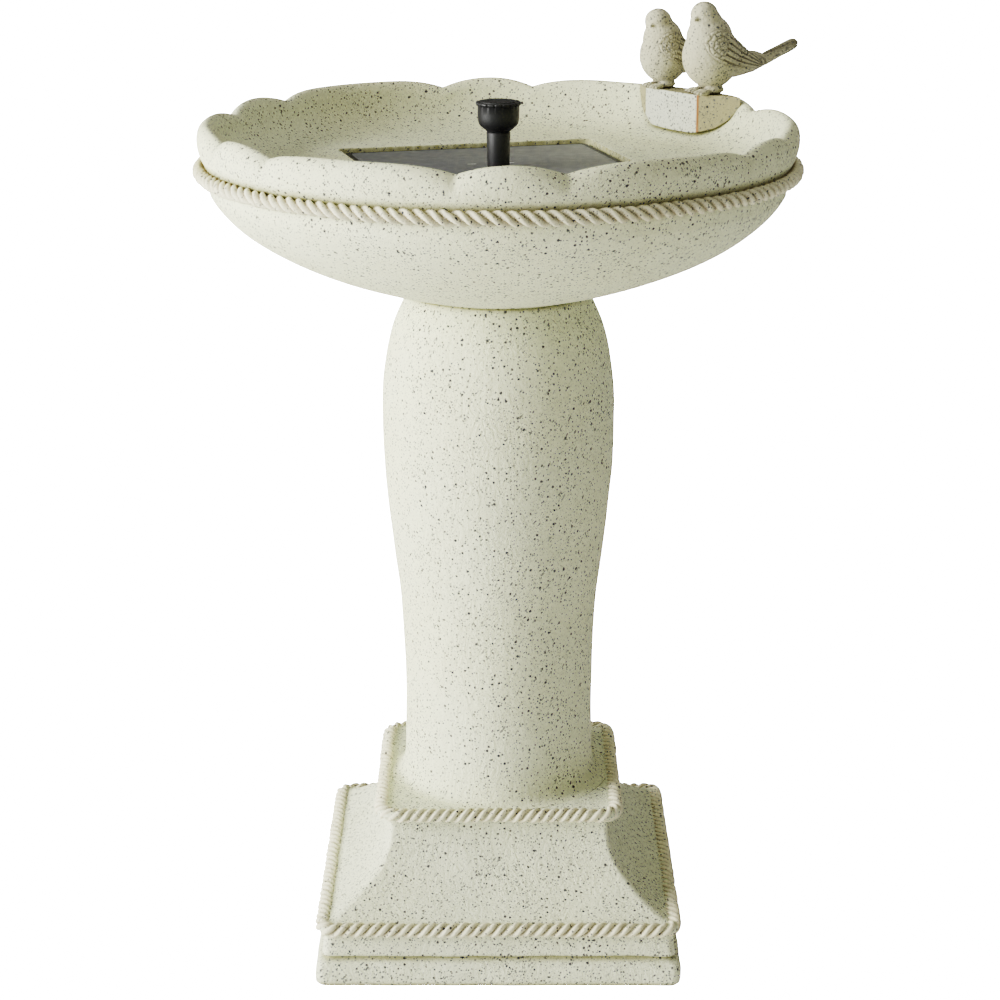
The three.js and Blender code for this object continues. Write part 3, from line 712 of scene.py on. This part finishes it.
# ---------------------------------------------------------------- birds
def blob(bm, radii, centre, lean=0.0, turn=0.0, detail=4):
    """An ellipsoid in millimetres, leaning about Y and turned about Z, in degrees."""
    place = Matrix.Translation(centre) @ Matrix.Rotation(math.radians(turn), 4, "Z")
    place = place @ Matrix.Rotation(math.radians(lean), 4, "Y") @ Matrix.Diagonal((*radii, 1))
    bmesh.ops.create_icosphere(bm, subdivisions=detail, radius=1, matrix=place)


def tapered(bm, start, end, wide, narrow, flat=1.0, steps=14, around=20):
    """A round bar from start to end whose half width runs from wide to narrow; flat squashes it."""
    start, end = Vector(start), Vector(end)
    along = (end - start).normalized()
    side = along.cross(Vector((0, 0, 1))).normalized()
    up = side.cross(along)
    rings = []
    for k in range(steps + 1):
        t = k / steps
        dome = math.sqrt(max(1 - max(t - 0.86, 0) ** 2 / 0.0205, 0.03))
        r = (wide + (narrow - wide) * t) * dome
        c = start.lerp(end, t)
        rings.append([
            bm.verts.new(c + side * r * math.cos(a) + up * r * flat * math.sin(a))
            for a in (TAU * i / around for i in range(around))
        ])
    for low, high in zip(rings, rings[1:]):
        for i in range(around):
            j = (i + 1) % around
            bm.faces.new((low[i], low[j], high[j], high[i]))
    bm.faces.new(rings[0][::-1])
    bm.faces.new(rings[-1])


TAIL_ROOT = Vector((-27, 0, 17.5))
TAIL_TIP = Vector((-65.5, 0, 34.5))


def comb(value, low=0.55, high=0.98):
    """0 between lines and 1 on a line, with one line for each whole number."""
    return smoothstep(abs((value % 1.0) - 0.5) * 2, low, high)


def carve_feathers(p, head, gaze):
    """(sink, feather_shade) of a point of the bird's skin: millimetres it sinks, and its share of painted
    shade in the carved lines.
    """
    lift, cut = 0.0, 0.0
    # each wing is a leaf shape on its flank, round at the shoulder and pointed towards the tail
    back, up = 5.0 - p.x, p.z - 37.5
    along = back * math.cos(0.42) - up * math.sin(0.42)
    over = back * math.sin(0.42) + up * math.cos(0.42)
    t = (along + 9) / 53
    if 0 < t < 1 and abs(p.y) > 3:
        half = 11.5 * math.sin(math.pi * t**0.6) ** 0.75
        inside = smoothstep(half - abs(over), -0.5, 0.9)
        lift = 0.7 * inside
        rim = smoothstep(abs(half - abs(over)), 1.0, 0.1)
        if along > 7:
            cut = 0.95 * inside * comb(over / max(half, 2) * 2.7 + 0.02 * along)
        else:
            waver = 0.5 * noise.noise(p / 4)
            ring = math.hypot(along - 4, over) / 3.4 + waver
            petal = math.atan2(over, along - 4) * 1.9 + 0.5 * int(ring)
            cut = 0.5 * inside * max(comb(ring, 0.6), comb(petal, 0.7))
        cut = max(cut, 0.3 * rim)
    q = p - TAIL_ROOT
    axis = (TAIL_TIP - TAIL_ROOT).normalized()
    if q.dot(axis) > 2:
        across = q.dot(Vector((axis.z * -1, 0, axis.x * -1)) * -1)
        fade = smoothstep(q.dot(axis), 5, 12)
        cut = max(cut, 0.8 * fade * comb(math.atan2(across, q.y) / TAU * 13, 0.5))
    local = gaze.inverted() @ (p - head)
    eyes = 0.0
    for side in (-1, 1):
        gap = (local - Vector((6.4, 6.2 * side, 1.6))).length
        eyes += 0.35 * smoothstep(gap, 2.0, 1.3) - 0.5 * smoothstep(gap, 1.2, 0.5)
    # the second value is painted shade in the carved feather lines
    return cut - lift + eyes, min(cut * 0.95, 0.9)


def bird_piece(name, feet, heading, look, size, nod, crown, grain):
    head = Vector((8.5, 0, 56.8 - nod))
    gaze = Matrix.Rotation(math.radians(look), 4, "Z")
    bm = bmesh.new()
    blob(bm, (20.0, 18.4, 23.0), (2.8, 0, 26.4), 6)
    blob(bm, (16.6, 15.6, 19.5), (3.8, 0, 38.5), 10)
    blob(bm, (11.6, 11.2, 12.5), (6.8, 0, 50.5), 12)
    blob(bm, (crown, crown, crown), head)
    blob(bm, (27, 11.5, 9.2), (-14, 0, 20), 8)
    tapered(bm, Vector((-3, 0, 35)), Vector((-31, 0, 18.4)), 12.0, 5.2, 0.95, 24, 30)
    tapered(bm, head + gaze @ Vector((6.0, 0, -0.6)), head + gaze @ Vector((13.4, 0, -3.4)), 3.0, 0.9, 0.9)
    tapered(bm, TAIL_ROOT, TAIL_TIP, 5.0, 4.9, 0.92, 26, 36)
    for y in (-6.5, 6.5):
        blob(bm, (7, 4.6, 3.8), (2.5, y, 3.6), detail=3)
        for spread in (-3.4, 0, 3.4):
            blob(bm, (6.2, 1.6, 2.2), (11.0, y + spread, 1.9), 10, spread * 5, 3)
    mesh = bpy.data.meshes.new(name)
    bm.to_mesh(mesh)
    bm.free()
    rough = bpy.data.objects.new(name + "_rough", mesh)
    bpy.context.scene.collection.objects.link(rough)
    remesh = rough.modifiers.new("fuse", "REMESH")
    remesh.mode = "VOXEL"
    remesh.voxel_size = 0.5
    smooth = rough.modifiers.new("soften", "SMOOTH")
    smooth.factor = 0.5
    smooth.iterations = 14
    depsgraph = bpy.context.evaluated_depsgraph_get()
    fused = bpy.data.meshes.new_from_object(rough.evaluated_get(depsgraph))
    bpy.data.objects.remove(rough)
    place = Matrix.Translation((*feet, PERCH_TOP - 0.6)) @ Matrix.Rotation(math.radians(heading), 4, "Z")
    place = place @ Matrix.Diagonal((size, size, size * 0.95, 1))
    normals = [v.normal.copy() for v in fused.vertices]
    verts, groove = [], []
    for v, normal in zip(fused.vertices, normals):
        lump = 0.15 * noise.noise(v.co / 3.2 + Vector((grain, 0, 0)))
        sink, feather_shade = carve_feathers(v.co, head, gaze)
        verts.append(tuple(place @ (v.co - normal * (sink + lump))))
        groove.append(feather_shade)
    faces = [tuple(poly.vertices) for poly in fused.polygons]
    bpy.data.meshes.remove(fused)
    return add_piece(name, verts, faces, stone_bird, "bowl", [name.replace("_stone", "")],
                     groove=groove)


bird_piece("bird_left_stone", (118.5, 137.6), -156, 35, 0.88, 1.5, 10.8, 3.0)
bird_piece("bird_right_stone", (149, 105), -157, 30, 1.0, 0.0, 9.7, 8.0)


# ---------------------------------------------------------------- fountain
def disc_ring(radius, z, segments):
    return [(radius * math.cos(TAU * i / segments), radius * math.sin(TAU * i / segments), z)
            for i in range(segments)]


turned(
    "riser_fine",
    [(7.2, 533.9), (7.3, 534.3), (7.88, 556.4), (7.6, 557.0), (5.6, 557), (5.6, 566), (4.4, 566),
     (4.4, 547), (6.4, 546), (6.4, 533.9)],
    plastic, "riser", "black_plastic", ["riser_tube"], 64)

head_profile = [(7.7, 557.3), (8.2, 557.8)]
head_profile += spline([(8.5, 558.3), (10.0, 559.3), (12.4, 561.6), (13.5, 564.6), (13.7, 569)], 5)
head_profile += [(13.7, 573.9), (14.2, 574.4), (14.85, 574.9), (14.9, 575.6), (14.8, 576.3), (14.3, 576.6),
                 (12.6, 576.6), (12.5, 574.0), (11, 573.8), (11, 568), (5.9, 567), (5.9, 557.3)]


def notched_head():
    """The spray head, with small teeth round its flange."""
    segments = 216
    teeth = 18
    rings = []
    for r, z in head_profile:
        ring = []
        for i in range(segments):
            a = TAU * i / segments
            tooth = 0.0
            if r > 13.9 and z > 574.2:
                gap = abs(((i * teeth / segments) % 1.0) - 0.5) * 2
                tooth = 0.75 * smoothstep(gap, 0.72, 0.9)
            ring.append(((r - tooth) * math.cos(a), (r - tooth) * math.sin(a), z))
        rings.append(ring)
    verts, faces = ring_skin(rings, closed_loop=True)
    add_piece("spray_head_fine", verts, faces, plastic, "spray_head", ["spray_head"])


notched_head()


def rose_piece():
    """The perforated disc in the head: a raised ring of small cups round a sunk, domed centre."""
    segments = 144
    holes = 18
    rings = []
    profile = [(0.3, 574.4), (12.1, 574.4), (12.1, 576.9), (11.7, 577.2), (11.2, 577.2), (10.6, 577.2),
               (9.6, 577.2), (8.6, 577.2), (7.8, 577.1), (7.2, 576.4), (6.6, 576.3), (5.4, 576.9),
               (3.4, 577.1), (2.4, 576.9), (1.6, 575.8), (0.3, 575.8)]
    for r, z in profile:
        ring = []
        for i in range(segments):
            a = TAU * i / segments
            dip = 0.0
            if 8.5 < r < 10.7:
                near = abs(((i * holes / segments) % 1.0) - 0.5) * 2
                dip = 1.1 * smoothstep(near, 0.45, 0.75)
            ring.append((r * math.cos(a), r * math.sin(a), z - dip))
        rings.append(ring)
    verts, faces = ring_skin(rings)
    add_piece("rose_fine", verts, faces, plastic, "spray_head", ["rose_disc"])


rose_piece()


def panel_point(u, v, z):
    """A point in the panel's own axes, turned into the row frame."""
    c, s = math.cos(PANEL_TURN), math.sin(PANEL_TURN)
    return (u * c - v * s, u * s + v * c, z)


def panel_sheet():
    """The cover over the cells: one flat sheet with softly broken edges and a hole for the riser."""
    half = 81.95
    segments = 240
    rings = []
    for inset, z in ((0.0, PANEL_TOP - 2.4), (0.0, PANEL_TOP - 0.35), (0.35, PANEL_TOP)):
        ring = []
        for i in range(segments):
            a = TAU * i / segments
            reach = square_reach(a - PANEL_TURN, half - inset, 2)
            ring.append((reach * math.cos(a), reach * math.sin(a), z))
        rings.append(ring)
    rings.append(disc_ring(7.2, PANEL_TOP, segments))
    rings.append(disc_ring(7.2, PANEL_TOP - 2.4, segments))
    verts, faces = ring_skin(rings, closed_loop=True)
    add_piece("panel_cover_fine", verts, faces, panel_grey, "fountain",
              ["panel_cover_glass"], False)


panel_sheet()


def bus_ticks():
    """The two short silver ribbons that show through the cover."""
    verts, faces = [], []
    long, wide = 2.9, 0.8
    for centre in ((-17.5, 12.4), (7.6, 17.7)):
        start = len(verts)
        for z in (PANEL_TOP - 0.2, PANEL_TOP + 0.12):
            for u, v in ((-long, -wide), (long, -wide), (long, wide), (-long, wide)):
                x, y, _ = panel_point(u, v, 0)
                verts.append((centre[0] + x, centre[1] + y, z))
        faces.append(tuple(start + k for k in (3, 2, 1, 0)))
        faces.append(tuple(start + k for k in (4, 5, 6, 7)))
        for k in range(4):
            n = (k + 1) % 4
            faces.append((start + k, start + n, start + 4 + n, start + 4 + k))
    add_piece("bus_ribbons", verts, faces, silver, "fountain", smooth=False)


bus_ticks()

CAD_FINISH = {
    "panel_tray": plastic, "solar_cells": panel_grey, "pump_housing": plastic_inner,
    "volute_cover": plastic_inner, "rotor_shaft": ceramic, "stator_winding": copper, "driver_board": board, "impeller": plastic_inner,
    "intake_strainer": plastic, "filter_sponge": foam, "perch_adhesive": mortar,
}
for n in range(1, 5):
    CAD_FINISH[f"tray_foot_{n}"] = rubber
    CAD_FINISH[f"flange_screw_{n}"] = steel
for node_name, material in CAD_FINISH.items():
    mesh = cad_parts[node_name].data
    mesh.materials.clear()
    mesh.materials.append(material)


# ---------------------------------------------------------------- floor, light and camera
FLOOR_GLOW = 40.0  # a backlit white sweep, seen by the camera only


def floor_piece():
    bm = bmesh.new()
    bmesh.ops.create_grid(bm, x_segments=2, y_segments=2, size=25)
    mesh = bpy.data.meshes.new("floor")
    bm.to_mesh(mesh)
    bm.free()
    g = Graph("floor_white")
    g.shader.inputs["Specular IOR Level"].default_value = 0.05
    tone = g.ramp(g.noise(2, 2), (0.3, 0.93), (0.7, 0.95))
    rough = g.ramp(g.noise(5, 2), (0.3, 0.85), (0.7, 0.95))
    seen = g.node("ShaderNodeLightPath").outputs["Is Camera Ray"]
    g.links.new(seen, g.shader.inputs["Emission Strength"])
    g.shader.inputs["Emission Color"].default_value = (FLOOR_GLOW, FLOOR_GLOW, FLOOR_GLOW, 1)
    mesh.materials.append(g.finish(tone, rough))
    floor = bpy.data.objects.new("floor", mesh)
    bpy.context.scene.collection.objects.link(floor)


floor_piece()


def soft_light(name, place, aim, size, power, colour=(1, 1, 1)):
    data = bpy.data.lights.new(name, "AREA")
    data.shape = "RECTANGLE"
    data.size, data.size_y = size
    data.energy = power
    data.color = colour
    lamp = bpy.data.objects.new(name, data)
    lamp.location = place
    lamp.rotation_euler = (Vector(aim) - Vector(place)).to_track_quat("-Z", "Y").to_euler()
    bpy.context.scene.collection.objects.link(lamp)


soft_light("key_left", (-2.7, -0.75, 0.75), (0, 0, 0.35), (1.7, 2.2), 455, (1.0, 1.0, 0.985))
soft_light("fill_front", (0.9, -3.0, 1.5), (0, 0, 0.3), (1.6, 1.6), 9, (1.0, 1.0, 0.84))
soft_light("top", (0.3, 0.4, 2.6), (0, 0, 0.3), (1.8, 1.8), 17, (1.0, 1.0, 0.9))

world = bpy.data.worlds.new("studio")
bpy.context.scene.world = world
world.use_nodes = True
world.node_tree.nodes["Background"].inputs["Color"].default_value = (1.0, 1.0, 0.82, 1)
world.node_tree.nodes["Background"].inputs["Strength"].default_value = 0.17

VIEW_PITCH = 16.77
VIEW_DISTANCE_PER_WIDTH = 2.514
camera_data = bpy.data.cameras.new("camera")
camera_data.sensor_width = 36
camera_data.lens = 36 * VIEW_DISTANCE_PER_WIDTH
camera = bpy.data.objects.new("camera", camera_data)
camera.location = (0.001, -1.646, 0.801)
camera.rotation_euler = (math.radians(90 - VIEW_PITCH), 0, 0)
bpy.context.scene.collection.objects.link(camera)
bpy.context.scene.camera = camera

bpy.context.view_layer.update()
